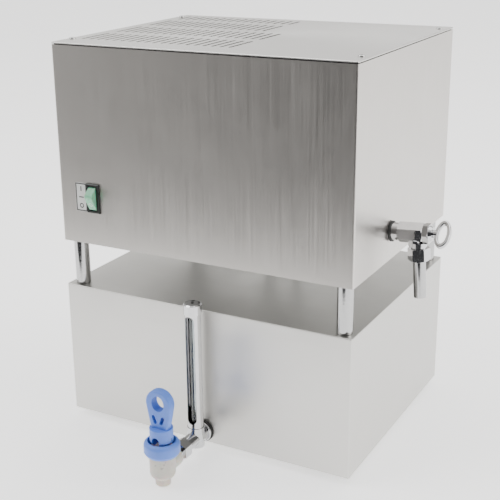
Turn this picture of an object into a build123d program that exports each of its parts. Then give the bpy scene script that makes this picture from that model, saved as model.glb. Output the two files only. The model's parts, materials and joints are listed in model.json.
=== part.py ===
from build123d import *
import math
import os

# Countertop water distiller. Millimetres, +Z up. The origin is the centre of the storage tank's
# footprint on the surface it stands on. The tap faces -Y and the drain valve is on the +X side.

# ---- overall casing ----
WIDTH = 336.0            # both boxes, along X
DEPTH = 266.0            # both boxes, along Y
SHEET = 1.2              # stainless sheet
BEND = 2.0               # outside bend radius of the sheet
FOOT_H = 9.0             # rubber feet under the tank
TANK_H = 151.0           # storage tank, with its cover
GAP = 50.5               # open space between the two boxes
UNIT_H = 211.5           # upper unit, with its lid
TANK_Z0 = FOOT_H
TANK_Z1 = TANK_Z0 + TANK_H
UNIT_Z0 = TANK_Z1 + GAP
UNIT_Z1 = UNIT_Z0 + UNIT_H
HALF_W = WIDTH / 2
HALF_D = DEPTH / 2
FRONT = -HALF_D          # front faces of both boxes

# ---- feet, legs ----
FOOT_R = 13.0
FOOT_INSET = 38.0
LEG_R = 8.0
LEG_INSET = 13.0
LEG_STEP = 0.4           # the plastic tip shows this much below each leg

# ---- tank cover ----
COVER_LIP = 8.0
PORT_Y = 62.0            # drip port centre, towards the back
PORT_W = 72.0
PORT_D = 42.0

# ---- tap and sight gauge ----
TAP_X = 2.0
SHANK_Z = 22.5           # horizontal shank axis
GAUGE_Y = FRONT - 16.0   # gauge axis
SPINDLE_Y = FRONT - 81.0  # spout and stem axis
SHANK_R = 7.5
SHANK_BORE = 4.0
SOCKET_TOP = 35.0        # top of the gauge socket
GAUGE_TOP = 173.0        # top of the gauge cap
CAP_H = 11.0
SHIELD_R = 8.3
SEAL_R = 7.1             # rubber sleeves at both ends of the glass
GLASS_R = 5.0
SLOT_W = 10.6            # sight slot in the shield
SPOUT_Z = 2.0            # lowest point of the spout
BODY_R = 13.2
NOZZLE_R = 8.0
OUTLET_R = 5.0
COLLAR_Z0 = 36.0
COLLAR_Z1 = 51.0
COLLAR_R = 18.3
COLLAR_MOUTH_R = 14.2
PIN_Z = 54.0             # handle pivot
PIN_R = 1.5
CUP_R = 11.9
HANDLE_TOP = 106.0

# ---- drain valve ----
DRAIN_Y = FRONT + 94.0
DRAIN_Z = 241.0
DRAIN_OUT_X = HALF_W + 29.0   # axis of the downward outlet
DRAIN_PITCH = 4.0        # the valve's outer end stands a little high, in degrees
DRAIN_AF = 18.5          # hex across flats
NUT_AF = 19.5
NUT_Z0 = 213.5           # compression nut on the outlet
NUT_Z1 = 226.2
TUBE_R = 6.35            # half-inch drain tube
TUBE_BORE = 5.2
TUBE_FLARE_R = 7.0       # the tube's flared end inside its nut
TUBE_END_Z = 174.8

# ---- switch ----
SWITCH_X = -125.25
SWITCH_Z = 261.75
BEZEL_W = 16.0
BEZEL_H = 31.5
ROCKER_W = 9.0
ROCKER_H = 25.0

# ---- boiler ----
BOILER_X0 = 30.0
BOILER_X1 = 150.0
BOILER_HALF_D = 115.0
BOILER_Z0 = 217.0
BOILER_Z1 = 372.0
BOILER_T = 1.5

# ---- condenser and fan ----
COIL_X0 = -140.0
COIL_X1 = 2.0
COIL_ROWS = 8
COIL_PITCH = 28.0
COIL_R = 5.0
COIL_Z_TOP = 398.0
COIL_Z_LOW = 370.0
FAN_X = -70.0
FAN_Y = -15.0
FAN_SIZE = 120.0
FAN_T = 38.0
FLOOR_TOP = UNIT_Z0 + SHEET


# ---------------------------------------------------------------- helpers
def block(x0, x1, y0, y1, z0, z1):
    """Axis-aligned block between two corners."""
    centre = Pos((x0 + x1) / 2, (y0 + y1) / 2, (z0 + z1) / 2)
    return centre * Box(x1 - x0, y1 - y0, z1 - z0)


def rounded(cx, cy, w, d, z0, z1, r):
    """Upright block with rounded vertical edges."""
    outline = Pos(cx, cy, z0) * RectangleRounded(w, d, r)
    return extrude(outline, z1 - z0, dir=(0, 0, 1))


def rod(a, b, r):
    """Round rod between two points."""
    start = Vector(*a)
    run = Vector(*b) - start
    plane = Plane(origin=start, z_dir=run.normalized())
    return extrude(plane * Circle(r), run.length)


def ring(a, b, r_out, r_in):
    """Round ring or tube between two points."""
    return rod(a, b, r_out) - rod(a, b, r_in)


def hexagon(a, b, across_flats, turn=0.0):
    """Hexagonal bar between two points, turned about its own axis by degrees."""
    start = Vector(*a)
    run = Vector(*b) - start
    x_dir = (0, 1, 0) if abs(run.Y) < abs(run.length) / 2 else (1, 0, 0)
    plane = Plane(origin=start, x_dir=x_dir, z_dir=run.normalized())
    outline = Rot(0, 0, turn) * RegularPolygon(across_flats / 2, 6, major_radius=False)
    return extrude(plane * outline, run.length)


def hex_nut(a, b, across_flats, turn=0.0):
    """Hexagonal bar whose corners are turned down at both ends."""
    body = hexagon(a, b, across_flats, turn)
    length = (Vector(*b) - Vector(*a)).length
    corner = across_flats / math.sqrt(3)
    start = Vector(*a)
    plane = Plane(origin=start, z_dir=(Vector(*b) - start).normalized())
    turned = extrude(plane * Circle(corner), length)
    cut = (corner - across_flats / 2) * 0.9
    turned = chamfer(turned.edges().filter_by(GeomType.CIRCLE), cut * 0.6, cut)
    return body & turned


def pipe(points, radii, r_out, r_in=0.0):
    """Tube or rod swept along straight runs joined by arcs."""
    path = FilletPolyline(*points, radius=radii)
    start = Plane(origin=path @ 0, z_dir=path % 0)
    section = start * Circle(r_out)
    if r_in > 0:
        section = section - start * Circle(r_in)
    return sweep(section, path=path)


def corners(inset_x, inset_y):
    """The four corner points of the casing, drawn in by the insets."""
    x = HALF_W - inset_x
    y = HALF_D - inset_y
    return [(-x, -y), (x, -y), (-x, y), (x, y)]


# ---------------------------------------------------------------- storage tank
def tank_feet():
    feet = []
    for x, y in corners(FOOT_INSET, FOOT_INSET):
        foot = rod((x, y, 0), (x, y, FOOT_H), FOOT_R)
        rim = foot.edges().filter_by(GeomType.CIRCLE).sort_by(Axis.Z)[0]
        feet.append(fillet(rim, 1.5))
    return Compound(children=feet)


def tank_shell():
    top = TANK_Z1 - SHEET
    shell = rounded(0, 0, WIDTH, DEPTH, TANK_Z0, top, BEND)
    shell = fillet(shell.faces().sort_by(Axis.Z)[0].edges(), 1.0)
    inner = rounded(0, 0, WIDTH - 2 * SHEET, DEPTH - 2 * SHEET, TANK_Z0 + SHEET, top + 1, 1.0)
    shell = shell - inner
    return shell - rod((TAP_X, FRONT - 1, SHANK_Z), (TAP_X, FRONT + 3, SHANK_Z), 8.6)


def tank_cover():
    z0 = TANK_Z1 - SHEET
    plate = rounded(0, 0, WIDTH, DEPTH, z0, TANK_Z1, BEND)
    plate = fillet(plate.faces().sort_by(Axis.Z)[-1].edges(), 0.9)
    lip_w = WIDTH - 2 * SHEET - 0.8
    lip_d = DEPTH - 2 * SHEET - 0.8
    lip = rounded(0, 0, lip_w, lip_d, z0 - COVER_LIP, z0, 1.0)
    lip = lip - rounded(0, 0, lip_w - 2, lip_d - 2, z0 - COVER_LIP - 1, z0 + 1, 0.8)
    port = rounded(0, PORT_Y, PORT_W, PORT_D, z0 - 1, TANK_Z1 + 1, 8)
    return plate + lip - port


# ---------------------------------------------------------------- tap
WASHER_T = 2.5
FLANGE_Y = FRONT - WASHER_T          # back of the tap's flange
SHANK_END_Y = SPINDLE_Y + 11.0       # the shank ends inside the tap body's side socket
NECK_TOP = 42.0                      # top of the tap body's neck, inside the collar


def tap_point(y, z=SHANK_Z):
    """A point on the tap's centre plane."""
    return (TAP_X, y, z)


def tap_washers():
    """Rubber washers on both faces of the tank's front wall."""
    inside = FRONT + SHEET
    outer = ring(tap_point(FRONT), tap_point(FLANGE_Y), 12.0, 8.6)
    inner = ring(tap_point(inside), tap_point(inside + WASHER_T), 10.9, 8.6)
    return Compound(children=[outer, inner])


def tap_locknut():
    y0 = FRONT + SHEET + WASHER_T
    nut = hex_nut(tap_point(y0), tap_point(y0 + 5.5), 22.0)
    return nut - rod(tap_point(y0 - 1), tap_point(y0 + 7), 8.5)


def tap_shank():
    flange = rod(tap_point(FLANGE_Y), tap_point(FLANGE_Y - 3.0), 11.2)
    flange = fillet(flange.edges().filter_by(GeomType.CIRCLE).sort_by(Axis.Y)[0], 1.2)
    tail = rod(tap_point(FLANGE_Y - 1), tap_point(FRONT + 18), 8.4)
    root = rod(tap_point(FLANGE_Y - 2), tap_point(GAUGE_Y), 9.2)
    boss = rod((TAP_X, GAUGE_Y, SHANK_Z - 9.6), (TAP_X, GAUGE_Y, SOCKET_TOP), 9.0)
    arm = rod(tap_point(GAUGE_Y), tap_point(SHANK_END_Y), SHANK_R)
    hex_y = GAUGE_Y - 24.0
    wrench = hexagon(tap_point(hex_y), tap_point(hex_y - 12.0), 19.0, 30)
    shank = tail + flange + root + boss + arm + wrench
    shank = shank - rod(tap_point(FRONT + 19), tap_point(SHANK_END_Y - 1), SHANK_BORE)
    socket = rod((TAP_X, GAUGE_Y, SOCKET_TOP - 8), (TAP_X, GAUGE_Y, SOCKET_TOP + 1), SEAL_R + 0.1)
    return shank - socket - rod((TAP_X, GAUGE_Y, SHANK_Z), (TAP_X, GAUGE_Y, SOCKET_TOP), 3.5)


def gauge_rod(z0, z1, r):
    return rod((TAP_X, GAUGE_Y, z0), (TAP_X, GAUGE_Y, z1), r)


def gauge_glass():
    return gauge_rod(SOCKET_TOP - 6, GAUGE_TOP - 4, GLASS_R) - gauge_rod(0, 200, GLASS_R - 1.2)


def gauge_seals():
    """Rubber sleeves round both ends of the glass."""
    lower = gauge_rod(SOCKET_TOP - 8, SOCKET_TOP - 1, SEAL_R)
    lower = lower - gauge_rod(SOCKET_TOP - 6, SOCKET_TOP, GLASS_R) - gauge_rod(0, SOCKET_TOP, 3.5)
    upper = gauge_rod(GAUGE_TOP - CAP_H + 1, GAUGE_TOP - 4, SEAL_R) - gauge_rod(0, 200, GLASS_R)
    return Compound(children=[lower, upper])


def gauge_shield():
    z0 = SOCKET_TOP
    z1 = GAUGE_TOP - CAP_H
    tube = gauge_rod(z0, z1, SHIELD_R) - gauge_rod(z0 - 1, z1 + 1, SHIELD_R - 1.1)
    half = SLOT_W / 2
    z_low = z0 + 5 + half
    z_high = z1 - 1.5 - half
    slot = block(TAP_X - half, TAP_X + half, GAUGE_Y - 20, GAUGE_Y, z_low, z_high)
    for z in (z_low, z_high):
        slot = slot + rod((TAP_X, GAUGE_Y - 20, z), (TAP_X, GAUGE_Y, z), half)
    return tube - slot


def gauge_cap():
    cap = gauge_rod(GAUGE_TOP - CAP_H, GAUGE_TOP, SHIELD_R + 1.1)
    top = cap.edges().filter_by(GeomType.CIRCLE).sort_by(Axis.Z)[-1]
    cap = chamfer(top, 1.2)
    return cap - gauge_rod(GAUGE_TOP - CAP_H - 1, GAUGE_TOP - 4, SEAL_R + 0.1) - gauge_rod(0, 200, 1.5)


def spindle_rod(z0, z1, r):
    return rod((TAP_X, SPINDLE_Y, z0), (TAP_X, SPINDLE_Y, z1), r)


def tap_body():
    """Translucent spout body: turned outline, side socket for the shank, thin neck floor."""
    with BuildSketch(Plane.XZ) as outline:
        with BuildLine():
            Polyline((0, SPOUT_Z), (NOZZLE_R - 0.6, SPOUT_Z), (NOZZLE_R, SPOUT_Z + 0.6), (NOZZLE_R, 9.0))
            TangentArc((NOZZLE_R, 9.0), (BODY_R, 17.0), tangent=(0.9, 0.35))
            Polyline((BODY_R, 17.0), (BODY_R, NECK_TOP), (0, NECK_TOP), (0, SPOUT_Z))
        make_face()
    body = revolve(outline.sketch, Axis.Z)
    body = Pos(TAP_X, SPINDLE_Y, 0) * body
    side = rod(tap_point(SPINDLE_Y), tap_point(SPINDLE_Y + 21), 11.0)
    body = body + side
    body = body - spindle_rod(14.0, NECK_TOP - 3.0, 9.8) - spindle_rod(0, 20, OUTLET_R)
    body = body - spindle_rod(20, 60, 3.0)
    return body - rod(tap_point(SHANK_END_Y - 0.01), tap_point(SPINDLE_Y + 30), SHANK_R) \
        - rod(tap_point(SPINDLE_Y), tap_point(SPINDLE_Y + 30), SHANK_BORE + 1)


def tap_collar():
    """Fat ring screwed on the tap body's neck; the handle's cup sinks into its mouth."""
    collar = spindle_rod(COLLAR_Z0, COLLAR_Z1, COLLAR_R)
    collar = fillet(collar.edges().filter_by(GeomType.CIRCLE).sort_by(Axis.Z)[-1], 5.0)
    collar = chamfer(collar.edges().filter_by(GeomType.CIRCLE).sort_by(Axis.Z)[0], 3.0, 2.0)
    return collar - spindle_rod(COLLAR_Z0 - 1, NECK_TOP, BODY_R) \
        - spindle_rod(NECK_TOP - 0.01, COLLAR_Z1 + 1, COLLAR_MOUTH_R)


def tap_stem():
    """Rod with the pin's eye on top and a shoulder for the spring."""
    stem = spindle_rod(19.0, PIN_Z - 2, 2.95) + spindle_rod(22.0, 23.5, 6.5)
    eye = rod((TAP_X - 3.4, SPINDLE_Y, PIN_Z), (TAP_X + 3.4, SPINDLE_Y, PIN_Z), 3.5)
    stem = stem + eye
    return stem - rod((TAP_X - 5, SPINDLE_Y, PIN_Z), (TAP_X + 5, SPINDLE_Y, PIN_Z), PIN_R)


def tap_seat_cup():
    """Silicone cup that seals the outlet from above."""
    cup = spindle_rod(14.1, 21.9, 8.6)
    cup = fillet(cup.edges().filter_by(GeomType.CIRCLE).sort_by(Axis.Z)[-1], 2.0)
    return cup - spindle_rod(19.0, 30, 2.95)


def tap_spring():
    """Return spring on the stem's shoulder, under the neck."""
    z0 = 24.1
    z1 = NECK_TOP - 7.0
    coil = Helix(pitch=(z1 - z0) / 5, height=z1 - z0, radius=5.2)
    section = Plane(origin=coil @ 0, z_dir=coil % 0) * Circle(0.5)
    return Pos(TAP_X, SPINDLE_Y, z0) * sweep(section, path=coil, is_frenet=True)


def tap_pin():
    return rod((TAP_X - 11.0, SPINDLE_Y, PIN_Z), (TAP_X + 11.0, SPINDLE_Y, PIN_Z), PIN_R)


def tap_handle():
    """Loop paddle on a round cup that is pinned to the stem."""
    cup_top = PIN_Z + 11.0
    cup = spindle_rod(PIN_Z - 7.0, cup_top, CUP_R)
    cup = cup & Pos(TAP_X, SPINDLE_Y, PIN_Z + 4.5) * Sphere(CUP_R + 1.8)
    cup = cup & (Pos(TAP_X, SPINDLE_Y, PIN_Z) * Sphere(CUP_R + 1.2) + spindle_rod(PIN_Z, cup_top, CUP_R))
    low_z = cup_top + 1.0
    high_z = HANDLE_TOP - 14.5
    spine = Plane(origin=(TAP_X, SPINDLE_Y + 5.0, 0), x_dir=(1, 0, 0), z_dir=(0, -1, 0))
    outline = make_hull([(Pos(0, low_z) * Circle(9.6)).edge(), (Pos(0, high_z) * Circle(14.5)).edge()])
    paddle = extrude(spine * outline, 10.0)
    paddle = fillet(paddle.faces().filter_by(Axis.Y).edges(), 2.5)
    paddle = paddle - extrude(spine * Pos(0, high_z + 0.5) * Ellipse(7.0, 8.2), 10.0)
    for side in (-1, 1):
        slit = Pos(side * 4.4, low_z + 8.5) * Rot(0, 0, side * -20) * SlotOverall(9.6, 3.8, 90)
        paddle = paddle - extrude(spine * slit, 10.0)
    paddle = paddle - block(TAP_X - 20, TAP_X + 20, SPINDLE_Y - 20, SPINDLE_Y + 20, 0, cup_top - 4)
    handle = cup + paddle
    slot = block(TAP_X - 4, TAP_X + 4, SPINDLE_Y - 30, SPINDLE_Y + 4.2, 0, PIN_Z + 1)
    slot = slot + rod((TAP_X - 4, SPINDLE_Y, PIN_Z), (TAP_X + 4, SPINDLE_Y, PIN_Z), 4.2)
    arch = rod((TAP_X, SPINDLE_Y - 30, PIN_Z), (TAP_X, SPINDLE_Y, PIN_Z), 4.0)
    handle = handle - slot - arch
    return handle - rod((TAP_X - 11.05, SPINDLE_Y, PIN_Z), (TAP_X + 20, SPINDLE_Y, PIN_Z), PIN_R + 0.05)


# ---------------------------------------------------------------- upper casing
LID_T = 1.6
SEAL_T = 1.0
RIM_Z = UNIT_Z1 - LID_T - SEAL_T     # top of the casing's folded rim
RIM_W = 14.0
LID_SCREWS = [(-160.0, -107.0), (160.0, -107.0), (-160.0, 109.0), (160.0, 109.0)]
VENT_W = 3.2
VENT_PITCH = 9.65


def case_wrap():
    """Front and both sides in one bent sheet, with a folded rim at the top."""
    outer = rounded(0, 0, WIDTH, DEPTH, UNIT_Z0, RIM_Z, BEND)
    w = WIDTH - 2 * SHEET
    y0 = FRONT + SHEET
    inner = rounded(0, 20, w, DEPTH - 2 * SHEET + 40, UNIT_Z0 - 1, RIM_Z - SHEET, 1.0)
    rim = block(-HALF_W + RIM_W, HALF_W - RIM_W, FRONT + RIM_W, HALF_D + 5, RIM_Z - 5, RIM_Z + 1)
    wrap = outer - inner - rim
    wrap = wrap - block(-HALF_W + SHEET, HALF_W - SHEET, HALF_D - SHEET, HALF_D + 1, UNIT_Z0 - 1, RIM_Z + 1)
    cut_w = BEZEL_W - 3.0
    cut_h = BEZEL_H - 3.0
    wrap = wrap - block(SWITCH_X - cut_w / 2, SWITCH_X + cut_w / 2, FRONT - 1, y0 + 1,
                        SWITCH_Z - cut_h / 2, SWITCH_Z + cut_h / 2)
    wrap = wrap - pitched(rod(on_drain(HALF_W - 4), on_drain(HALF_W + 2), 8.3))
    for x, y in LID_SCREWS:
        wrap = wrap - rod((x, y, RIM_Z - 3), (x, y, RIM_Z + 1), 1.7)
    return wrap


def case_back():
    """Flat back panel with a forward rim and the inlet's cut-out."""
    x = HALF_W - SHEET - 0.1
    panel = block(-x, x, HALF_D - SHEET, HALF_D, FLOOR_TOP, RIM_Z)
    rim = block(-HALF_W + RIM_W + 0.3, HALF_W - RIM_W - 0.3, HALF_D - RIM_W, HALF_D - SHEET, RIM_Z - SHEET, RIM_Z)
    panel = panel + rim
    panel = panel - block(INLET_X - 14, INLET_X + 14, HALF_D - 3, HALF_D + 1, INLET_Z - 10.5, INLET_Z + 10.5)
    for x in (INLET_X - 20, INLET_X + 20):
        panel = panel - rod((x, HALF_D - 3, INLET_Z), (x, HALF_D + 1, INLET_Z), 1.7)
    return panel


def vent_slot(x, y0, y1, z0, z1, width):
    """One round-ended slot that runs along Y."""
    r = width / 2
    cut = block(x - r, x + r, y0 + r, y1 - r, z0, z1)
    for y in (y0 + r, y1 - r):
        cut = cut + rod((x, y, z0), (x, y, z1), r)
    return cut


def vent_field(x0, count, y0, y1, z0, z1, width=VENT_W):
    """A row of parallel slots."""
    return [vent_slot(x0 + i * VENT_PITCH, y0, y1, z0, z1, width) for i in range(count)]


def floor_pan():
    """Floor sheet with upturned edges, an air intake under the fan and the port's holes."""
    w = WIDTH - 2 * SHEET - 0.3
    d = DEPTH - 2 * SHEET - 0.3
    pan = rounded(0, 0, w, d, UNIT_Z0, UNIT_Z0 + 15, 1.0)
    pan = pan - rounded(0, 0, w - 2 * SHEET, d - 2 * SHEET, FLOOR_TOP, UNIT_Z0 + 16, 0.5)
    pan = pan - block(HALF_W - 8, HALF_W, DRAIN_Y - 12, DRAIN_Y + 12, FLOOR_TOP + 3, UNIT_Z0 + 20)
    slots = []
    for y0, y1 in ((FAN_Y - 52, FAN_Y - 3), (FAN_Y + 3, FAN_Y + 52)):
        slots += vent_field(FAN_X - 5 * VENT_PITCH, 11, y0, y1, UNIT_Z0 - 1, FLOOR_TOP + 1, 3.6)
    for slot in slots:
        pan = pan - slot
    pan = pan - rod((TUBE_X, PORT_Y, UNIT_Z0 - 1), (TUBE_X, PORT_Y, FLOOR_TOP + 1), 10.0)
    pan = pan - rod((FLOAT_X, PORT_Y, UNIT_Z0 - 1), (FLOAT_X, PORT_Y, FLOOR_TOP + 1), 3.1)
    for x, y in corners(LEG_INSET, LEG_INSET):
        pan = pan - rod((x, y, UNIT_Z0 - 1), (x, y, FLOOR_TOP + 1), 2.6)
    return pan


def lid_seal():
    """Thin foam strip on the casing's rim; it shows as the dark line under the lid."""
    z0 = RIM_Z
    strip = rounded(0, 0, WIDTH - 4, DEPTH - 4, z0, z0 + SEAL_T, 1.0)
    strip = strip - rounded(0, 0, WIDTH - 24, DEPTH - 24, z0 - 1, z0 + SEAL_T + 1, 1.0)
    for x, y in LID_SCREWS:
        strip = strip - rod((x, y, z0 - 1), (x, y, z0 + SEAL_T + 1), 1.7)
    return strip


def vented_lid():
    z0 = UNIT_Z1 - LID_T
    lid = rounded(0, 0, WIDTH, DEPTH, z0, UNIT_Z1, BEND)
    lid = fillet(lid.faces().sort_by(Axis.Z)[-1].edges(), 0.9)
    left = -HALF_W + 16.0
    cuts = []
    for depth, length, count in ((32, 48, 19), (95, 48, 19), (158, 48, 16), (221, 29, 16)):
        y0 = FRONT + depth
        cuts += vent_field(left, count, y0, y0 + length, z0 - 1, UNIT_Z1 + 1)
    for x, y in LID_SCREWS:
        cuts.append(rod((x, y, z0 - 1), (x, y, UNIT_Z1 + 1), 1.7))
    return lid - Compound(children=cuts)


def pan_head(x, y, z, length, r_head=3.4, r_shank=1.6, head_h=1.8):
    """Upright pan-head screw, head up, with a cross recess."""
    head = rod((x, y, z), (x, y, z + head_h), r_head)
    head = fillet(head.edges().filter_by(GeomType.CIRCLE).sort_by(Axis.Z)[-1], 1.1)
    screw = head + rod((x, y, z - length), (x, y, z + 0.5), r_shank)
    for dx, dy in ((1.9, 0.4), (0.4, 1.9)):
        screw = screw - block(x - dx, x + dx, y - dy, y + dy, z + 0.9, z + 3)
    return screw


def lid_screws():
    return Compound(children=[pan_head(x, y, UNIT_Z1, 9.0) for x, y in LID_SCREWS])


def legs():
    """Tube legs with a closed top that takes the leg screw."""
    z0 = TANK_Z1 + LEG_STEP
    tubes = []
    for x, y in corners(LEG_INSET, LEG_INSET):
        tube = rod((x, y, z0), (x, y, UNIT_Z0), LEG_R)
        tube = tube - rod((x, y, z0 - 1), (x, y, UNIT_Z0 - 12), LEG_R - 1.5)
        tubes.append(tube - rod((x, y, UNIT_Z0 - 14), (x, y, UNIT_Z0 + 1), 2.5))
    return Compound(children=tubes)


def leg_tips():
    """Plugs in the lower ends of the legs, standing on the tank cover."""
    tips = []
    for x, y in corners(LEG_INSET, LEG_INSET):
        tip = rod((x, y, TANK_Z1 + LEG_STEP), (x, y, TANK_Z1 + 9), LEG_R - 1.5)
        tips.append(tip + rod((x, y, TANK_Z1), (x, y, TANK_Z1 + LEG_STEP), LEG_R - 1.0))
    return Compound(children=tips)


def leg_screws():
    screws = []
    for x, y in corners(LEG_INSET, LEG_INSET):
        head = hex_nut((x, y, FLOOR_TOP), (x, y, FLOOR_TOP + 3.5), 8.0)
        screws.append(head + rod((x, y, UNIT_Z0 - 10), (x, y, FLOOR_TOP + 1), 2.5))
    return Compound(children=screws)


# ---------------------------------------------------------------- switch
HOUSING_D = 24.0         # depth of the switch behind the panel
ROCKER_Y = FRONT + 3.0   # rocker pivot


def switch_bezel():
    half_w = BEZEL_W / 2
    half_h = BEZEL_H / 2
    face = block(SWITCH_X - half_w, SWITCH_X + half_w, FRONT - 2.4, FRONT, SWITCH_Z - half_h, SWITCH_Z + half_h)
    face = chamfer(face.faces().sort_by(Axis.Y)[0].edges(), 0.8)
    w = half_w - 1.7
    h = half_h - 1.7
    body = block(SWITCH_X - w, SWITCH_X + w, FRONT - 1, FRONT + HOUSING_D, SWITCH_Z - h, SWITCH_Z + h)
    housing = face + body
    w = ROCKER_W / 2 + 0.4
    h = ROCKER_H / 2 + 0.7
    housing = housing - block(SWITCH_X - w, SWITCH_X + w, FRONT - 5, FRONT + 15, SWITCH_Z - h, SWITCH_Z + h)
    for x in (-4.0, 0.0, 4.0):
        blade = block(SWITCH_X + x - 0.4, SWITCH_X + x + 0.4, FRONT + HOUSING_D - 1, FRONT + HOUSING_D + 9,
                      SWITCH_Z - 3, SWITCH_Z + 3)
        housing = housing + blade
    pivot = rod((SWITCH_X - w - 1, ROCKER_Y, SWITCH_Z), (SWITCH_X + w + 1, ROCKER_Y, SWITCH_Z), 1.5)
    return housing + pivot


def switch_rocker():
    """Crowned rocker: a ridge above its middle and two sloping faces."""
    ridge_z = 3.5
    half = ROCKER_H / 2
    outline = [(-2.9, -half), (-5.3, -half + 0.8), (-12.2, ridge_z - 2.6), (-12.8, ridge_z - 0.9),
               (-12.8, ridge_z + 0.9), (-12.2, ridge_z + 2.4), (-5.3, half - 0.8), (-2.9, half),
               (1.0, half - 1.5), (4.0, 3.0), (4.0, -3.0), (1.0, -half + 1.5)]
    plane = Plane(origin=(SWITCH_X - ROCKER_W / 2, ROCKER_Y, SWITCH_Z), x_dir=(0, 1, 0), z_dir=(1, 0, 0))
    body = extrude(plane * Polygon(*outline, align=None), ROCKER_W, dir=(1, 0, 0))
    return body - rod((SWITCH_X - 9, ROCKER_Y, SWITCH_Z), (SWITCH_X + 9, ROCKER_Y, SWITCH_Z), 1.55)


def switch_plate():
    """Small marker plate beside the switch."""
    x1 = SWITCH_X - BEZEL_W / 2 - 0.2
    plate = block(x1 - 14.0, x1, FRONT - 0.8, FRONT, SWITCH_Z - 15.5, SWITCH_Z + 15.5)
    return fillet(plate.edges().filter_by(Axis.Y), 1.2)


# ---------------------------------------------------------------- boiler
BOILER_CX = (BOILER_X0 + BOILER_X1) / 2
BOILER_W = BOILER_X1 - BOILER_X0
FLANGE_W = 8.0
ELEMENT_Z = 238.0
ELEMENT_X = (70.0, 110.0)
BOILER_SCREWS = [(BOILER_CX + i * (BOILER_W / 2 + 4), j * 80.0) for i in (-1, 1) for j in (-1, 0, 1)]


def boiler_tank():
    d = 2 * BOILER_HALF_D
    flange_d = d + 2 * FLANGE_W
    flange = rounded(BOILER_CX, 0, BOILER_W + 2 * FLANGE_W, flange_d, BOILER_Z1 - 1.5, BOILER_Z1, 20)
    tank = rounded(BOILER_CX, 0, BOILER_W, d, BOILER_Z0, BOILER_Z1, 15)
    tank = fillet(tank.faces().sort_by(Axis.Z)[0].edges(), 4) + flange
    inner = rounded(BOILER_CX, 0, BOILER_W - 2 * BOILER_T, d - 2 * BOILER_T, BOILER_Z0 + BOILER_T,
                    BOILER_Z1 + 1, 13.5)
    tank = tank - inner
    tank = tank - pitched(rod(on_drain(BOILER_X1 - 6), on_drain(BOILER_X1 + 4), 8.3))
    for x in ELEMENT_X:
        tank = tank - rod((x, BOILER_HALF_D - 4, ELEMENT_Z), (x, BOILER_HALF_D + 2, ELEMENT_Z), 4.3)
    for x, y in BOILER_SCREWS:
        tank = tank - rod((x, y, BOILER_Z1 - 3), (x, y, BOILER_Z1 + 1), 1.7)
    return tank


def boiler_frame(z0, z1, hollow):
    """Outline shared by the boiler's gasket and lid."""
    d = 2 * BOILER_HALF_D
    plate = rounded(BOILER_CX, 0, BOILER_W + 2 * FLANGE_W, d + 2 * FLANGE_W, z0, z1, 20)
    if hollow:
        plate = plate - rounded(BOILER_CX, 0, BOILER_W - 4, d - 4, z0 - 1, z1 + 1, 13)
    for x, y in BOILER_SCREWS:
        plate = plate - rod((x, y, z0 - 1), (x, y, z1 + 1), 1.7)
    return plate


def boiler_gasket():
    return boiler_frame(BOILER_Z1, BOILER_Z1 + 2.0, True)


def boiler_lid():
    lid = boiler_frame(BOILER_Z1 + 2.0, BOILER_Z1 + 3.5, False)
    return lid - rod((STEAM_X, STEAM_Y, BOILER_Z1), (STEAM_X, STEAM_Y, BOILER_Z1 + 5), 6.1)


def boiler_screws():
    return Compound(children=[pan_head(x, y, BOILER_Z1 + 3.5, 9.0) for x, y in BOILER_SCREWS])


def boiler_brackets():
    """Two U-shaped saddles that carry the boiler above the floor."""
    saddles = []
    for y in (-75.0, 75.0):
        saddle = block(BOILER_X0 + 10, BOILER_X1 - 10, y - 10, y + 10, FLOOR_TOP, BOILER_Z0)
        hollow = block(BOILER_X0 + 24, BOILER_X1 - 24, y - 11, y + 11, FLOOR_TOP - 1, BOILER_Z0 - SHEET)
        saddles.append(saddle - hollow)
    return Compound(children=saddles)


def heating_element():
    """Hairpin immersion heater with its two cold ends outside the boiler."""
    x0, x1 = ELEMENT_X
    y_end = BOILER_HALF_D + 9.0
    points = [(x0, y_end, ELEMENT_Z), (x0, -80, ELEMENT_Z), (x1, -80, ELEMENT_Z), (x1, y_end, ELEMENT_Z)]
    return pipe(points, 19.5, 4.2)


def element_nuts():
    """Brass nuts on both faces of the boiler's wall."""
    nuts = []
    for x in ELEMENT_X:
        for y in (BOILER_HALF_D, BOILER_HALF_D - BOILER_T - 4.0):
            nut = hex_nut((x, y, ELEMENT_Z), (x, y + 4.0, ELEMENT_Z), 14.0)
            nuts.append(nut - rod((x, y - 1, ELEMENT_Z), (x, y + 5, ELEMENT_Z), 4.2))
    return Compound(children=nuts)


def limit_thermostat():
    """High-limit disc clipped to the boiler's left wall."""
    disc = rod((BOILER_X0, 0, 245), (BOILER_X0 - 7, 0, 245), 9.0)
    flange = rod((BOILER_X0, 0, 245), (BOILER_X0 - 1.2, 0, 245), 12.0)
    body = disc + flange
    for y in (-4.0, 4.0):
        body = body + block(BOILER_X0 - 14, BOILER_X0 - 6.5, y - 0.4, y + 0.4, 242, 248)
    return body


def splash_baffle():
    """Plate that hangs under the boiler's lid and keeps droplets out of the steam outlet."""
    z0 = BOILER_Z1 - 22
    plate = block(STEAM_X - 30, STEAM_X + 30, STEAM_Y - 13, STEAM_Y + 13, z0, z0 + 1.2)
    for x in (-24, 24):
        post = rod((STEAM_X + x, STEAM_Y, z0 + 1.0), (STEAM_X + x, STEAM_Y, BOILER_Z1 + 2.0), 2.5)
        plate = plate + post
    return plate


# ---------------------------------------------------------------- condenser
STEAM_X = 85.0
STEAM_Y = COIL_PITCH * (COIL_ROWS - 1) / 2
STEAM_Z = COIL_Z_TOP
TUBE_X = -18.0           # condensate tube in the drip port
FLOAT_X = 18.0           # float rod in the drip port
JOIN_X = 14.0            # where the steam tube meets the coil
COIL_END_X = -4.0        # where the coil meets the condensate tube


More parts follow.
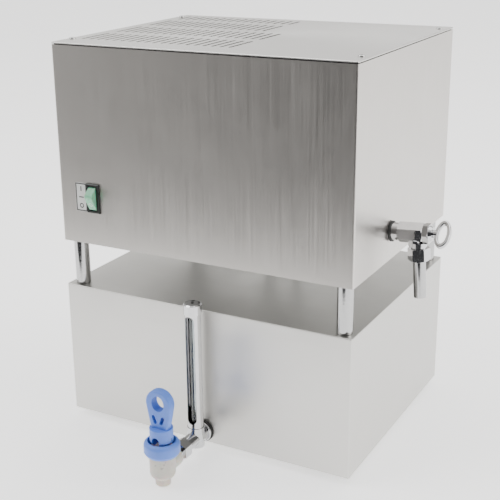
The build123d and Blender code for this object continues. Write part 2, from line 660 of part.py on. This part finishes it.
def coil_rows():
    """Y of each straight run, from the back to the front."""
    first = COIL_PITCH * (COIL_ROWS - 1) / 2
    return [first - i * COIL_PITCH for i in range(COIL_ROWS)]


def steam_tube():
    points = [(STEAM_X, STEAM_Y, BOILER_Z1 - 4), (STEAM_X, STEAM_Y, STEAM_Z), (JOIN_X, STEAM_Y, STEAM_Z)]
    return pipe(points, 12.0, 6.0, 5.0)


def condenser_coil():
    """One tube in two serpentine layers, entering at the top and leaving at the back of the lower one."""
    rows = coil_rows()
    points = [(JOIN_X, rows[0], COIL_Z_TOP)]
    for i, y in enumerate(rows):
        far = COIL_X0 if i % 2 == 0 else COIL_X1
        points.append((far, y, COIL_Z_TOP))
        if i + 1 < len(rows):
            points.append((far, rows[i + 1], COIL_Z_TOP))
    points.append((COIL_X1, rows[-1], COIL_Z_LOW))
    for i, y in enumerate(reversed(rows)):
        far = COIL_X0 if i % 2 == 0 else COIL_X1
        points.append((far, y, COIL_Z_LOW))
        if i + 1 < len(rows):
            points.append((far, rows[-2 - i], COIL_Z_LOW))
    points = points[:-1]
    points.append((COIL_END_X, rows[0], COIL_Z_LOW))
    return pipe(points, 12.0, COIL_R, COIL_R - 0.8)


def condenser_fins():
    """Plate fins threaded on the coil's straight runs."""
    y = COIL_PITCH * (COIL_ROWS - 1) / 2 + 11
    fins = []
    count = 13
    first = COIL_X0 + 25
    step = (COIL_X1 - 25 - first) / (count - 1)
    holes = [rod((COIL_X0, row, z), (COIL_X1, row, z), COIL_R + 0.05) for row in coil_rows()
             for z in (COIL_Z_TOP, COIL_Z_LOW)]
    cutter = Compound(children=holes)
    for i in range(count):
        x = first + i * step
        fins.append(block(x - 0.3, x + 0.3, -y, y, COIL_Z_LOW - 12, COIL_Z_TOP + 12) - cutter)
    return Compound(children=fins)


def condenser_brackets():
    """Two side plates that hang the coil from the casing's front and back rims."""
    plates = []
    y = COIL_PITCH * (COIL_ROWS - 1) / 2 + 14
    for x in (COIL_X0 + 16, COIL_X1 - 16):
        plate = block(x - 0.6, x + 0.6, -y, y, COIL_Z_LOW - 8, COIL_Z_TOP + 9)
        for row in coil_rows():
            for z in (COIL_Z_TOP, COIL_Z_LOW):
                plate = plate - rod((x - 2, row, z), (x + 2, row, z), COIL_R + 0.1)
        for side in (-1, 1):
            foot = block(x - 0.6, x + 6, side * y - 0.6, side * y + 0.6, COIL_Z_LOW - 8, COIL_Z_TOP + 9)
            plate = plate + foot
            arm_y = (side * y, side * (HALF_D - SHEET))
            plate = plate + block(x - 0.6, x + 6, min(arm_y), max(arm_y), COIL_Z_LOW - 8, COIL_Z_LOW - 6.8)
        plates.append(plate)
    return Compound(children=plates)


def condensate_tube():
    """Carries the distilled water from the coil down through the port into the tank."""
    y = coil_rows()[0]
    drop_x = COIL_END_X + 13.0
    points = [(COIL_END_X, y, COIL_Z_LOW), (drop_x, y, COIL_Z_LOW), (drop_x, y, 300),
              (TUBE_X, PORT_Y, 262), (TUBE_X, PORT_Y, 140)]
    return pipe(points, 9.0, COIL_R, COIL_R - 0.8)


def tube_grommet():
    """Silicone sleeve that holds the condensate tube in the floor."""
    a = (TUBE_X, PORT_Y, UNIT_Z0 - 2)
    b = (TUBE_X, PORT_Y, FLOOR_TOP + 2)
    body = ring(a, b, 12.5, COIL_R)
    groove = ring((TUBE_X, PORT_Y, UNIT_Z0), (TUBE_X, PORT_Y, FLOOR_TOP), 14, 10.0)
    return body - groove


# ---------------------------------------------------------------- fan
FAN_Z0 = FLOOR_TOP
HUB_R = 20.0


def fan_frame():
    half = FAN_SIZE / 2
    frame = block(FAN_X - half, FAN_X + half, FAN_Y - half, FAN_Y + half, FAN_Z0, FAN_Z0 + FAN_T)
    frame = fillet(frame.edges().filter_by(Axis.Z), 5)
    frame = frame - rod((FAN_X, FAN_Y, FAN_Z0 - 1), (FAN_X, FAN_Y, FAN_Z0 + FAN_T + 1), half - 3)
    motor = rod((FAN_X, FAN_Y, FAN_Z0), (FAN_X, FAN_Y, FAN_Z0 + 6), HUB_R)
    shaft = rod((FAN_X, FAN_Y, FAN_Z0 + 5), (FAN_X, FAN_Y, FAN_Z0 + 30), 2.5)
    frame = frame + motor + shaft
    strut = block(0, half - 2, -3, 3, 0, 4)
    for angle in (45, 135, 225, 315):
        frame = frame + Pos(FAN_X, FAN_Y, FAN_Z0) * Rot(0, 0, angle) * strut
    for x, y in fan_holes():
        frame = frame - rod((x, y, FAN_Z0 - 1), (x, y, FAN_Z0 + FAN_T + 1), 2.1)
    return frame


def fan_holes():
    pitch = 52.5
    return [(FAN_X + i * pitch, FAN_Y + j * pitch) for i in (-1, 1) for j in (-1, 1)]


def fan_rotor():
    """Seven pitched blades on a hub that turns on the motor's shaft."""
    z0 = FAN_Z0 + 7.0
    z1 = FAN_Z0 + FAN_T - 3.0
    hub = rod((FAN_X, FAN_Y, z0), (FAN_X, FAN_Y, z1), HUB_R)
    rotor = hub
    blade = Pos((HUB_R + 55) / 2 - 1, 0, (z0 + z1) / 2) * Rot(38, 0, 0) * Box(55 - HUB_R + 2, 34, 1.8)
    for i in range(7):
        rotor = rotor + Pos(FAN_X, FAN_Y, 0) * Rot(0, 0, i * 360 / 7) * blade
    return rotor - rod((FAN_X, FAN_Y, z0 - 5), (FAN_X, FAN_Y, FAN_Z0 + 31), 2.55)


def fan_screws():
    screws = []
    for x, y in fan_holes():
        screws.append(pan_head(x, y, FAN_Z0 + FAN_T, FAN_T, r_shank=2.0))
    return Compound(children=screws)


# ---------------------------------------------------------------- electrical
INLET_X = -115.0
INLET_Z = 240.0


def power_inlet():
    """Three-pin appliance inlet in the back panel."""
    flange = block(INLET_X - 25, INLET_X + 25, HALF_D, HALF_D + 3, INLET_Z - 12, INLET_Z + 12)
    flange = fillet(flange.edges().filter_by(Axis.Y), 4)
    body = block(INLET_X - 13.5, INLET_X + 13.5, HALF_D - 18, HALF_D + 1, INLET_Z - 10, INLET_Z + 10)
    inlet = flange + body
    cavity = block(INLET_X - 12, INLET_X + 12, HALF_D - 14, HALF_D + 4, INLET_Z - 8, INLET_Z + 8)
    cavity = chamfer(cavity.edges().filter_by(Axis.Y).group_by(Axis.Z)[-1], 4)
    inlet = inlet - cavity
    for x, z in ((-7.0, -2.0), (7.0, -2.0), (0.0, 3.0)):
        pin = block(INLET_X + x - 1, INLET_X + x + 1, HALF_D - 15, HALF_D, INLET_Z + z - 2, INLET_Z + z + 2)
        inlet = inlet + pin
        tab = block(INLET_X + x - 0.4, INLET_X + x + 0.4, HALF_D - 26, HALF_D - 17.5, INLET_Z + z - 3,
                    INLET_Z + z + 3)
        inlet = inlet + tab
    for x in (INLET_X - 20, INLET_X + 20):
        inlet = inlet - rod((x, HALF_D - 1, INLET_Z), (x, HALF_D + 4, INLET_Z), 1.7)
    return inlet


def inlet_screws():
    screws = []
    for x in (INLET_X - 20, INLET_X + 20):
        screw = Rot(-90, 0, 0) * pan_head(0, 0, 0, 10.0)
        screws.append(Pos(x, HALF_D + 3, INLET_Z) * screw)
    return Compound(children=screws)


def terminal_block():
    """Six-way screw terminal on the floor, under the inlet."""
    x0 = -150.0
    y0 = 70.0
    body = block(x0, x0 + 22, y0, y0 + 48, FLOOR_TOP, FLOOR_TOP + 8)
    body = body + block(x0 + 5, x0 + 17, y0, y0 + 48, FLOOR_TOP, FLOOR_TOP + 14)
    for i in range(6):
        y = y0 + 4 + i * 8
        body = body - rod((x0 + 11, y, FLOOR_TOP + 8), (x0 + 11, y, FLOOR_TOP + 15), 2.4)
        body = body + rod((x0 + 11, y, FLOOR_TOP + 7.5), (x0 + 11, y, FLOOR_TOP + 11), 2.2)
    return body


# ---------------------------------------------------------------- level control
FLOAT_Z0 = 99.6
FLOAT_H = 28.0


def float_rod():
    """Hollow guide rod of the level switch, hung from the floor."""
    x = FLOAT_X
    guide = rod((x, PORT_Y, 96), (x, PORT_Y, FLOOR_TOP), 3.0)
    nut = hex_nut((x, PORT_Y, FLOOR_TOP), (x, PORT_Y, FLOOR_TOP + 4), 10.0)
    return guide + nut + rod((x, PORT_Y, UNIT_Z0 - 4), (x, PORT_Y, UNIT_Z0), 7.0)


def float_stop():
    return ring((FLOAT_X, PORT_Y, 96.5), (FLOAT_X, PORT_Y, 99.0), 5.0, 3.0)


def level_float():
    body = rod((FLOAT_X, PORT_Y, FLOAT_Z0), (FLOAT_X, PORT_Y, FLOAT_Z0 + FLOAT_H), 12.5)
    body = fillet(body.edges().filter_by(GeomType.CIRCLE), 3)
    return body - rod((FLOAT_X, PORT_Y, 90), (FLOAT_X, PORT_Y, 140), 3.35)


# ---------------------------------------------------------------- drain valve
NIPPLE_R = 8.2


def on_drain(x, z=DRAIN_Z):
    """A point on the valve's plane."""
    return (x, DRAIN_Y, z)


def pitched(shape):
    """Turns a piece of the valve up about the point where its axis leaves the casing."""
    return shape.rotate(Axis(on_drain(HALF_W), (0, 1, 0)), -DRAIN_PITCH)


def drain_locknut():
    x0 = BOILER_X1 - BOILER_T - 6.0
    nut = hex_nut(on_drain(x0), on_drain(x0 + 5.0), 22.0)
    return pitched(nut - rod(on_drain(x0 - 1), on_drain(x0 + 7), NIPPLE_R))


def drain_washer():
    """Rubber washer between the casing and the valve's shoulder."""
    return pitched(ring(on_drain(HALF_W + 0.8), on_drain(HALF_W + 3.0), 10.4, NIPPLE_R))


def drain_body():
    """Hexagonal valve body with a threaded inlet nipple and an outlet neck that points down."""
    x0 = HALF_W + 3.0
    nipple = rod(on_drain(BOILER_X1 - 9), on_drain(x0 + 2), NIPPLE_R)
    collar = rod(on_drain(x0), on_drain(x0 + 7.0), 8.9)
    body = hex_nut(on_drain(x0 + 6.5), on_drain(BONNET_X), DRAIN_AF, 30)
    neck_top = DRAIN_Z - DRAIN_AF / 2 - 0.2
    neck = rod(on_drain(DRAIN_OUT_X, neck_top), on_drain(DRAIN_OUT_X, NUT_Z1 - NUT_DEPTH), 8.0)
    root = rod(on_drain(DRAIN_OUT_X - 3.5), on_drain(DRAIN_OUT_X - 3.5, 228.0), 7.2)
    valve = nipple + collar + body + neck + root
    valve = valve - rod(on_drain(BOILER_X1 - 10), on_drain(BONNET_X + 1), 5.0)
    valve = valve - rod(on_drain(DRAIN_OUT_X), on_drain(DRAIN_OUT_X, 200), 4.0)
    return pitched(valve - rod(on_drain(DRAIN_OUT_X, 228.0), on_drain(DRAIN_OUT_X, 200), TUBE_FLARE_R))


BONNET_X = HALF_W + 35.0   # joint between the valve body and its bonnet nut
NUT_DEPTH = 5.6            # how far the outlet neck reaches into the compression nut


def drain_bonnet():
    """Bonnet nut that holds the stem in the valve body."""
    x1 = BONNET_X + 6.0
    nut = hex_nut(on_drain(BONNET_X), on_drain(x1), DRAIN_AF)
    cone = Plane(origin=on_drain(x1), z_dir=(1, 0, 0))
    gland = loft([cone * Circle(8.2), cone.offset(3.0) * Circle(6.8)])
    return pitched(nut + gland - rod(on_drain(BONNET_X - 1), on_drain(x1 + 4), 3.05))


BOW_X = HALF_W + 53.5    # centre of the ring handle
BOW_TILT = 45.0          # the ring handle leans back from upright


def drain_stem():
    """Valve stem, its seat plug and the oval ring handle, all one piece."""
    stem = rod(on_drain(HALF_W + 26), on_drain(HALF_W + 47), 3.0)
    plug = rod(on_drain(HALF_W + 12), on_drain(HALF_W + 24.5), 4.6)
    spindle = rod(on_drain(HALF_W + 24), on_drain(HALF_W + 27), 3.0)
    plane = Plane(origin=on_drain(BOW_X), x_dir=(1, 0, 0), z_dir=(0, -1, 0))
    outline = Ellipse(8.1, 15.0) - Ellipse(3.9, 10.2)
    bow = extrude(plane * outline, 2.8, both=True)
    bow = fillet(bow.edges(), 1.8)
    bow = bow + rod(on_drain(BONNET_X + 9.4), on_drain(BOW_X - 5.4), 3.8)
    bow = bow.rotate(Axis(on_drain(BOW_X), (1, 0, 0)), -BOW_TILT)
    return pitched(stem + plug + spindle + bow)


def drain_nut():
    """Compression nut on the outlet."""
    nut = hex_nut(on_drain(DRAIN_OUT_X, NUT_Z1), on_drain(DRAIN_OUT_X, NUT_Z0), NUT_AF, 15)
    nut = nut - rod(on_drain(DRAIN_OUT_X, 240), on_drain(DRAIN_OUT_X, NUT_Z1 - NUT_DEPTH), 8.0)
    return pitched(nut - rod(on_drain(DRAIN_OUT_X, 240), on_drain(DRAIN_OUT_X, 200), TUBE_FLARE_R))


def drain_tube():
    """Outlet tube with a flared end that the nut holds."""
    end = on_drain(DRAIN_OUT_X, TUBE_END_Z)
    step = on_drain(DRAIN_OUT_X, NUT_Z0)
    top = on_drain(DRAIN_OUT_X, 227.8)
    tube = rod(step, end, TUBE_R) + rod(top, step, TUBE_FLARE_R)
    return pitched(tube - rod(on_drain(DRAIN_OUT_X, 230), on_drain(DRAIN_OUT_X, 170), TUBE_BORE))


# ---------------------------------------------------------------- output
PARTS = (
    tank_feet, tank_shell, tank_cover,
    tap_washers, tap_locknut, tap_shank, tap_body, tap_collar, tap_stem, tap_seat_cup, tap_spring,
    tap_pin, tap_handle,
    gauge_glass, gauge_seals, gauge_shield, gauge_cap,
    case_wrap, case_back, floor_pan, lid_seal, vented_lid, lid_screws, legs, leg_tips, leg_screws,
    switch_bezel, switch_rocker, switch_plate,
    boiler_tank, boiler_gasket, boiler_lid, boiler_screws, boiler_brackets, heating_element,
    element_nuts, limit_thermostat, splash_baffle,
    steam_tube, condenser_coil, condenser_fins, condenser_brackets, condensate_tube, tube_grommet,
    fan_frame, fan_rotor, fan_screws,
    power_inlet, inlet_screws, terminal_block,
    float_rod, float_stop, level_float,
    drain_locknut, drain_washer, drain_body, drain_bonnet, drain_stem, drain_nut, drain_tube,
)


def main():
    os.makedirs("parts", exist_ok=True)
    for make in PARTS:
        export_step(make(), f"parts/{make.__name__}.step")


main()
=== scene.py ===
import json
import math

import bpy
from mathutils import Matrix, Vector


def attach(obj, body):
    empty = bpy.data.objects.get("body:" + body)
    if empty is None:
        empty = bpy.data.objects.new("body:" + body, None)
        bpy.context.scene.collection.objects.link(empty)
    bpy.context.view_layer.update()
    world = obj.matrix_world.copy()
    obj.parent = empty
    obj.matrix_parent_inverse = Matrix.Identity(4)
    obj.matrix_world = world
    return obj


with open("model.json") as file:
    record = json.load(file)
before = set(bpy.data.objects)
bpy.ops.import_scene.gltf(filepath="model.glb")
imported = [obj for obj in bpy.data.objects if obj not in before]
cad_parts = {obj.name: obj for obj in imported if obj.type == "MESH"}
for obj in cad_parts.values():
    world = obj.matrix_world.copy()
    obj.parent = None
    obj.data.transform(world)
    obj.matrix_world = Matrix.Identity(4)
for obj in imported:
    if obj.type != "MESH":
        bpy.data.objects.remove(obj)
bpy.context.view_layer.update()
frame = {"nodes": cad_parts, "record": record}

NODES = frame["nodes"]


# ---------------------------------------------------------------- camera
def make_camera():
    """A long lens at the photograph's viewing angle."""
    data = bpy.data.cameras.new("camera")
    data.sensor_width = 36.0
    data.lens = 74.3
    data.shift_x = 0.05
    data.shift_y = -0.01
    camera = bpy.data.objects.new("camera", data)
    bpy.context.scene.collection.objects.link(camera)
    azimuth = math.radians(29.67)
    elevation = math.radians(18.62)
    roll = math.radians(-1.01)
    right = Vector((math.cos(azimuth), math.sin(azimuth), 0.0))
    back = Vector((math.sin(azimuth) * math.cos(elevation), -math.cos(azimuth) * math.cos(elevation),
                   math.sin(elevation)))
    up = back.cross(right)
    right_rolled = math.cos(roll) * right + math.sin(roll) * up
    up_rolled = -math.sin(roll) * right + math.cos(roll) * up
    turn = Matrix((right_rolled, up_rolled, back)).transposed()
    camera.matrix_world = Matrix.Translation((0.5079, -0.9686, 0.5581)) @ turn.to_4x4()
    bpy.context.scene.camera = camera


# ---------------------------------------------------------------- material kit
class Paint:
    """A principled material and short ways to add nodes to it."""

    def __init__(self, name, colour, roughness, metallic=0.0, **sockets):
        self.mat = bpy.data.materials.new(name)
        self.mat.use_nodes = True
        self.tree = self.mat.node_tree
        self.shader = self.tree.nodes["Principled BSDF"]
        self.shader.inputs["Base Color"].default_value = (*colour, 1.0)
        self.shader.inputs["Roughness"].default_value = roughness
        self.shader.inputs["Metallic"].default_value = metallic
        for key, value in sockets.items():
            self.shader.inputs[key.replace("_", " ")].default_value = value
        self.where = self.tree.nodes.new("ShaderNodeTexCoord").outputs["Object"]
        self.height = None

    def node(self, kind, **inputs):
        node = self.tree.nodes.new(kind)
        for key, value in inputs.items():
            node.inputs[key.replace("_", " ")].default_value = value
        return node

    def link(self, a, b):
        self.tree.links.new(a, b)

    def noise(self, scale, stretch=(1.0, 1.0, 1.0), detail=4.0, roughness=0.55):
        """Noise in the object's own space, stretched per axis."""
        mapping = self.node("ShaderNodeMapping", Scale=stretch)
        self.link(self.where, mapping.inputs["Vector"])
        noise = self.node("ShaderNodeTexNoise", Scale=scale, Detail=detail, Roughness=roughness)
        self.link(mapping.outputs["Vector"], noise.inputs["Vector"])
        return noise.outputs["Fac"]

    def spread(self, value, low, high, from_low=0.3, from_high=0.7):
        """Maps a 0 to 1 value onto a range."""
        node = self.node("ShaderNodeMapRange", From_Min=from_low, From_Max=from_high, To_Min=low, To_Max=high)
        self.link(value, node.inputs["Value"])
        return node.outputs["Result"]

    def tint(self, value, dark, light):
        """Base colour between two colours."""
        mix = self.tree.nodes.new("ShaderNodeMix")
        mix.data_type = "RGBA"
        mix.inputs[6].default_value = (*dark, 1.0)
        mix.inputs[7].default_value = (*light, 1.0)
        self.link(value, mix.inputs[0])
        self.link(mix.outputs[2], self.shader.inputs["Base Color"])
        return mix.outputs[2]

    def rough(self, value, low, high):
        self.link(self.spread(value, low, high), self.shader.inputs["Roughness"])

    def bump(self, value, strength, distance):
        """Adds a bump on top of the ones already there."""
        node = self.node("ShaderNodeBump", Strength=strength, Distance=distance)
        self.link(value, node.inputs["Height"])
        if self.height is not None:
            self.link(self.height, node.inputs["Normal"])
        self.height = node.outputs["Normal"]
        self.link(self.height, self.shader.inputs["Normal"])


def shade(colour, factor):
    return tuple(min(1.0, c * factor) for c in colour)


GRAIN = {"x": (4.0, 1100.0, 1100.0), "y": (1100.0, 4.0, 1100.0), "z": (1100.0, 1100.0, 4.0)}


def brushed_steel(name, colour, roughness, along, anisotropy=0.45):
    """Stainless sheet: fine grain along one axis, faint blotches and handling marks."""
    paint = Paint(name, colour, roughness, metallic=1.0, Anisotropic=anisotropy)
    grain = paint.noise(1.6, GRAIN[along], detail=3.0)
    blotch = paint.noise(9.0, detail=5.0, roughness=0.6)
    marks = paint.noise(34.0, detail=8.0, roughness=0.72)
    both = paint.node("ShaderNodeMath")
    both.operation = "MULTIPLY_ADD"
    both.inputs[1].default_value = 0.55
    paint.link(grain, both.inputs[0])
    paint.link(paint.spread(blotch, 0.0, 0.45), both.inputs[2])
    paint.tint(both.outputs[0], shade(colour, 0.97), shade(colour, 1.03))
    mixed = paint.node("ShaderNodeMath")
    mixed.operation = "MULTIPLY_ADD"
    mixed.inputs[1].default_value = 0.5
    paint.link(marks, mixed.inputs[0])
    paint.link(paint.spread(grain, 0.0, 0.5), mixed.inputs[2])
    paint.rough(mixed.outputs[0], roughness - 0.05, roughness + 0.06)
    paint.bump(grain, 0.02, 0.00006)
    return paint.mat


def polished_metal(name, colour, roughness):
    """Chrome or polished steel with soft water marks and a slight ripple."""
    paint = Paint(name, colour, roughness, metallic=1.0)
    marks = paint.noise(160.0, detail=6.0, roughness=0.65)
    paint.tint(paint.spread(marks, 0.0, 1.0), shade(colour, 0.93), shade(colour, 1.03))
    paint.rough(marks, max(0.02, roughness - 0.03), roughness + 0.07)
    paint.bump(paint.noise(420.0, detail=2.0), 0.06, 0.0002)
    return paint.mat


def moulded(name, colour, roughness, grain=1400.0, strength=0.12, **sockets):
    """Moulded plastic or rubber with a fine surface texture and faint colour drift."""
    paint = Paint(name, colour, roughness, **sockets)
    drift = paint.noise(60.0, detail=4.0)
    paint.tint(paint.spread(drift, 0.0, 1.0), shade(colour, 0.93), shade(colour, 1.05))
    paint.rough(paint.noise(220.0, detail=5.0), roughness - 0.05, roughness + 0.08)
    paint.bump(paint.noise(grain, detail=2.0), strength, 0.0002)
    return paint.mat


def coil_metal(name, colour, roughness):
    """Tube or fin stock with heat tint and a dull mill finish."""
    paint = Paint(name, colour, roughness, metallic=1.0)
    tone = paint.noise(40.0, detail=6.0, roughness=0.7)
    paint.tint(paint.spread(tone, 0.0, 1.0), shade(colour, 0.8), shade(colour, 1.08))
    paint.rough(tone, roughness - 0.08, roughness + 0.1)
    paint.bump(paint.noise(900.0, detail=3.0), 0.1, 0.0002)
    return paint.mat


def make_materials():
    return {
        "case_steel": brushed_steel("case_steel", (0.63, 0.605, 0.575), 0.34, "z"),
        "tank_steel": brushed_steel("tank_steel", (0.62, 0.61, 0.585), 0.35, "x"),
        "lid_steel": brushed_steel("lid_steel", (0.78, 0.77, 0.75), 0.34, "x"),
        "inner_steel": coil_metal("inner_steel", (0.50, 0.50, 0.49), 0.34),
        "leg_chrome": polished_metal("leg_chrome", (0.46, 0.46, 0.46), 0.08),
        "chrome": polished_metal("chrome", (0.60, 0.60, 0.61), 0.05),
        "screw_steel": polished_metal("screw_steel", (0.66, 0.66, 0.65), 0.18),
        "blue_plastic": moulded("blue_plastic", (0.11, 0.235, 0.74), 0.40, Subsurface_Weight=0.12,
                                Subsurface_Scale=0.004),
        "spout_plastic": moulded("spout_plastic", (0.74, 0.70, 0.63), 0.30, Subsurface_Weight=0.5,
                                 Subsurface_Scale=0.01, Transmission_Weight=0.25, IOR=1.46),
        "black_rubber": moulded("black_rubber", (0.022, 0.022, 0.022), 0.6, grain=900.0, strength=0.25),
        "silicone": moulded("silicone", (0.62, 0.60, 0.57), 0.45, Subsurface_Weight=0.2,
                            Subsurface_Scale=0.004),
        "switch_black": moulded("switch_black", (0.010, 0.014, 0.012), 0.3),
        "rocker_green": moulded("rocker_green", (0.26, 0.66, 0.42), 0.28, Subsurface_Weight=0.25,
                                Subsurface_Scale=0.004),
        "plate_white": moulded("plate_white", (0.80, 0.80, 0.79), 0.4),
        "black_plastic": moulded("black_plastic", (0.022, 0.022, 0.024), 0.42, grain=800.0, strength=0.25),
        "brass": polished_metal("brass", (0.62, 0.46, 0.20), 0.22),
        "fin_aluminium": coil_metal("fin_aluminium", (0.58, 0.58, 0.58), 0.38),
        "fan_frame": coil_metal("fan_frame", (0.06, 0.06, 0.06), 0.5),
        "foam": moulded("foam", (0.02, 0.02, 0.02), 0.85, grain=700.0, strength=0.5),
        "gauge_glass": glass("gauge_glass"),
    }


def glass(name):
    """Clear borosilicate tube with a trace of lime film."""
    paint = Paint(name, (0.86, 0.89, 0.90), 0.03, Transmission_Weight=1.0, IOR=1.47)
    film = paint.noise(90.0, (1.0, 1.0, 0.3), detail=5.0)
    paint.tint(paint.spread(film, 0.0, 1.0), (0.80, 0.84, 0.85), (0.93, 0.95, 0.95))
    paint.rough(film, 0.02, 0.08)
    return paint.mat


def dress_nodes(materials):
    """Gives every CAD node the material of its slot."""
    slots = {part["node"]: part["material_slot"] for part in frame["record"]["subparts"]}
    for name, node in NODES.items():
        mat = materials.get(slots.get(name), materials["inner_steel"])
        node.data.materials.clear()
        node.data.materials.append(mat)


# ---------------------------------------------------------------- switch marks
PLATE_X = -0.14045       # centre of the plate beside the switch
SWITCH_Z = 0.26175
PLATE_MARK_Y = -0.13391  # just in front of the plate's face
MARK_OFFSET_Z = 0.0092   # the on and off marks above and below the middle
RING_STEPS = 28

ROCKER_MARK_CENTRE = Vector((-0.12525, -0.13883, 0.2563))
ROCKER_FACE_ACROSS = Vector((1.0, 0.0, 0.0))
ROCKER_FACE_UP = Vector((0.0, -0.480, 0.877))


def mark_piece(name, material, quads, to_point):
    """A thin printed piece from flat quads, placed by to_point."""
    points = []
    faces = []
    for quad in quads:
        start = len(points)
        points += [to_point(u, v) for u, v in quad]
        faces.append(tuple(range(start, start + len(quad))))
    mesh = bpy.data.meshes.new(name)
    mesh.from_pydata(points, [], faces)
    piece = bpy.data.objects.new(name, mesh)
    bpy.context.scene.collection.objects.link(piece)
    piece.data.materials.append(material)
    return piece


def box_corners(cx, cz, half_w, half_h):
    return [(cx - half_w, cz - half_h), (cx + half_w, cz - half_h), (cx + half_w, cz + half_h),
            (cx - half_w, cz + half_h)]


def band(cx, cz, half_w, half_h, width):
    """Four-sided frame as four quads."""
    outer = box_corners(cx, cz, half_w, half_h)
    inner = box_corners(cx, cz, half_w - width, half_h - width)
    return [[outer[i], outer[(i + 1) % 4], inner[(i + 1) % 4], inner[i]] for i in range(4)]


def round_band(cx, cz, radius, width):
    """Round ring as quads."""
    quads = []
    for i in range(RING_STEPS):
        a0 = 2 * math.pi * i / RING_STEPS
        a1 = 2 * math.pi * (i + 1) / RING_STEPS
        quad = []
        for angle, r in ((a0, radius), (a1, radius), (a1, radius - width), (a0, radius - width)):
            quad.append((cx + r * math.cos(angle), cz + r * math.sin(angle)))
        quads.append(quad)
    return quads


def make_switch_marks():
    """Border and generic on and off marks on the plate beside the switch."""
    ink = moulded("mark_ink", (0.015, 0.015, 0.017), 0.4, grain=1800.0)
    quads = band(PLATE_X, SWITCH_Z, 0.0068, 0.0151, 0.0011)
    quads.append(box_corners(PLATE_X, SWITCH_Z + MARK_OFFSET_Z, 0.0006, 0.0026))
    quads.append(box_corners(PLATE_X, SWITCH_Z, 0.0030, 0.0006))
    quads += round_band(PLATE_X, SWITCH_Z - MARK_OFFSET_Z, 0.0026, 0.0010)
    marks = mark_piece("switch_marks", ink, quads, lambda x, z: (x, PLATE_MARK_Y, z))
    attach(marks, "upper_unit")


def make_rocker_mark():
    """White ring on the rocker's lower face."""
    white = moulded("mark_white", (0.85, 0.86, 0.84), 0.4, grain=1800.0)

    def on_face(u, v):
        return ROCKER_MARK_CENTRE + ROCKER_FACE_ACROSS * u + ROCKER_FACE_UP * v

    piece = mark_piece("rocker_mark", white, round_band(0.0, 0.0, 0.0023, 0.0007), on_face)
    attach(piece, "rocker")


# ---------------------------------------------------------------- stage
FLOOR_NEAR_Y = -0.62     # the floor ends here, and the dark studio shows in the steel beyond it
FLOOR_FAR_Y = 9.0
FLOOR_HALF_W = 7.0


def make_floor():
    """Plain pale floor that runs far past the object and ends a little in front of it."""
    paint = Paint("floor_pale", (0.92, 0.92, 0.92), 0.6)
    tone = paint.spread(paint.noise(2.0), 0.0, 1.0)
    paint.tint(tone, (0.90, 0.90, 0.90), (0.94, 0.94, 0.94))
    paint.shader.inputs["Emission Color"].default_value = (1.0, 1.0, 1.0, 1.0)
    paint.shader.inputs["Emission Strength"].default_value = 1.0
    mesh = bpy.data.meshes.new("floor")
    corners = [(-FLOOR_HALF_W, FLOOR_NEAR_Y, 0), (FLOOR_HALF_W, FLOOR_NEAR_Y, 0),
               (FLOOR_HALF_W, FLOOR_FAR_Y, 0), (-FLOOR_HALF_W, FLOOR_FAR_Y, 0)]
    mesh.from_pydata(corners, [], [(0, 1, 2, 3)])
    floor = bpy.data.objects.new("floor", mesh)
    floor.data.materials.append(paint.mat)
    bpy.context.scene.collection.objects.link(floor)


def area_light(name, place, target, size, power, colour=(1.0, 1.0, 1.0)):
    data = bpy.data.lights.new(name, "AREA")
    data.shape = "RECTANGLE"
    data.size = size[0]
    data.size_y = size[1]
    data.energy = power
    data.color = colour
    light = bpy.data.objects.new(name, data)
    light.location = place
    aim = Vector(target) - Vector(place)
    light.rotation_euler = aim.to_track_quat("-Z", "Y").to_euler()
    bpy.context.scene.collection.objects.link(light)


def make_lights():
    """A bright studio whose wall behind the camera is dark, as the steel's front shows."""
    world = bpy.data.worlds.new("studio")
    bpy.context.scene.world = world
    world.use_nodes = True
    tree = world.node_tree
    coords = tree.nodes.new("ShaderNodeTexCoord")
    dot = tree.nodes.new("ShaderNodeVectorMath")
    dot.operation = "DOT_PRODUCT"
    dot.inputs[1].default_value = (0.30, -0.93, -0.20)
    tree.links.new(coords.outputs["Generated"], dot.inputs[0])
    ramp = tree.nodes.new("ShaderNodeValToRGB")
    ramp.color_ramp.elements[0].position = 0.30
    ramp.color_ramp.elements[0].color = (1.0, 0.99, 0.97, 1.0)
    ramp.color_ramp.elements[1].position = 0.72
    ramp.color_ramp.elements[1].color = (0.06, 0.06, 0.063, 1.0)
    tree.links.new(dot.outputs["Value"], ramp.inputs["Fac"])
    back = tree.nodes["Background"]
    back.inputs["Strength"].default_value = 1.15
    tree.links.new(ramp.outputs["Color"], back.inputs["Color"])
    centre = (0.0, 0.0, 0.2)
    area_light("key", (-1.4, -1.2, 2.2), centre, (1.4, 1.4), 26.0)
    area_light("top", (0.2, 0.6, 2.4), centre, (2.4, 2.0), 30.0)
    area_light("side", (2.4, 0.4, 1.2), centre, (1.6, 1.8), 22.0, (1.0, 0.98, 0.95))


# ---------------------------------------------------------------- run
make_camera()
materials = make_materials()
dress_nodes(materials)
make_switch_marks()
make_rocker_mark()
make_floor()
make_lights()
